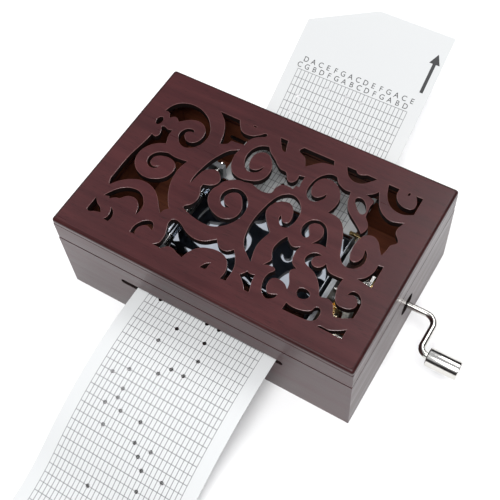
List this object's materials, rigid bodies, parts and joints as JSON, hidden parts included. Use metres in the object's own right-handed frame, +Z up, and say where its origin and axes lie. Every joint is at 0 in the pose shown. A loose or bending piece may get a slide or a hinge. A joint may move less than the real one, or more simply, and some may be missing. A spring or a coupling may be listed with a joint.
{
  "type": "hand crank music box",
  "caption": "Wooden music box with a pierced lid and a hand crank that feeds a punched card strip through a comb movement.",
  "frame": {"origin": "centre of the case's underside, on the surface it rests on", "axes": "+X towards the crank, +Y the way the card strip feeds, out through the back of the case, +Z up"},
  "size_m": [0.1775, 0.2954, 0.0611],
  "materials": {
    "mahogany_lacquer": "satin dark lacquer, slightly glossy, on mahogany",
    "nickel_plate": "bright nickel plate",
    "mirror_steel": "mirror polished sheet steel",
    "zinc_casting": "bare grey zinc casting",
    "blued_comb_steel": "ground spring steel",
    "brass": "plain brass",
    "white_nylon": "moulded nylon",
    "black_rubber": "matt black rubber",
    "strip_card": "matt white card"
  },
  "bodies": {
    "case": {"case_frame": "mahogany_lacquer", "case_floor": "mahogany_lacquer", "left_hinge_case_leaf": "brass", "left_hinge_pin": "brass", "right_hinge_case_leaf": "brass", "right_hinge_pin": "brass", "movement_screw_1": "nickel_plate", "movement_screw_2": "nickel_plate", "movement_screw_3": "nickel_plate", "movement_screw_4": "nickel_plate", "movement_frame": "zinc_casting", "front_paper_table": "nickel_plate", "back_paper_table": "nickel_plate", "comb": "blued_comb_steel", "comb_screw_1": "nickel_plate", "comb_screw_2": "nickel_plate", "comb_screw_3": "nickel_plate", "star_wheel_axle": "blued_comb_steel", "cover_hinge_rod": "nickel_plate", "cover_catch": "brass", "crank_bush": "brass", "gear_plate": "nickel_plate", "gear_plate_pillar_1": "nickel_plate", "gear_plate_pillar_2": "nickel_plate", "gear_plate_pillar_3": "nickel_plate", "idler_pin": "blued_comb_steel"},
    "lid": {"lid_panel": "mahogany_lacquer", "lid_frame": "mahogany_lacquer", "left_hinge_lid_leaf": "brass", "right_hinge_lid_leaf": "brass"},
    "crank": {"crank_pinion_shaft": "nickel_plate", "crank_rod": "nickel_plate"},
    "knob": {"crank_knob": "nickel_plate"},
    "idler": {"idler_gear": "white_nylon"},
    "feed_roller": {"feed_roller_shaft": "nickel_plate", "feed_roller_sleeve": "black_rubber", "roller_gear": "brass"},
    "star_wheels": {"star_wheels": "nickel_plate"},
    "cover": {"pressure_cover": "mirror_steel"},
    "pressure_roller": {"pressure_roller": "nickel_plate"},
    "strip": {"paper_strip": "strip_card"}
  },
  "joints": [
    {"name": "crank_turn", "type": "hinge", "parent": "case", "child": "crank", "pos_m": [0.06, 0.004, 0.0223], "axis": [-1, 0, 0], "range_deg": [-180, 720]},
    {"name": "knob_spin", "type": "hinge", "parent": "crank", "child": "knob", "pos_m": [0.098, -0.0146, 0.024], "axis": [-1, 0, 0], "continuous": true},
    {"name": "idler_turn", "type": "hinge", "parent": "case", "child": "idler", "pos_m": [0.05, -0.00483, 0.01418], "axis": [-1, 0, 0], "range_deg": [-245.3, 61.7]},
    {"name": "feed_roller_turn", "type": "hinge", "parent": "case", "child": "feed_roller", "pos_m": [0.0027, -0.01462, 0.01875], "axis": [-1, 0, 0], "range_deg": [-31.1, 122.9]},
    {"name": "star_wheel_turn", "type": "hinge", "parent": "case", "child": "star_wheels", "pos_m": [0.0027, 0.0013, 0.01775], "axis": [-1, 0, 0], "range_deg": [-27.5, 108.4]},
    {"name": "cover_hinge", "type": "hinge", "parent": "case", "child": "cover", "pos_m": [-0.0322, -0.006, 0.0335], "axis": [0, -1, 0], "range_deg": [0, 8]},
    {"name": "pressure_roller_turn", "type": "hinge", "parent": "cover", "child": "pressure_roller", "pos_m": [0.006, -0.01462, 0.02885], "axis": [-1, 0, 0], "range_deg": [-344.6, 86.5]},
    {"name": "strip_feed", "type": "slide", "parent": "case", "child": "strip", "axis": [0, 1, 0], "range_m": [-0.0042, 0.0162]},
    {"name": "lid_hinge", "type": "hinge", "parent": "case", "child": "lid", "pos_m": [0, 0.0506, 0.0377], "axis": [-1, 0, 0], "range_deg": [0, 95]}
  ],
  "couplings": [
    {"joint": "idler_turn", "follows": "crank_turn", "ratio": -0.33333},
    {"joint": "feed_roller_turn", "follows": "crank_turn", "ratio": 0.16667},
    {"joint": "star_wheel_turn", "follows": "crank_turn", "ratio": 0.14694},
    {"joint": "pressure_roller_turn", "follows": "crank_turn", "ratio": -0.46855},
    {"joint": "strip_feed", "follows": "crank_turn", "m_per_rad": 0.0012417}
  ]
}
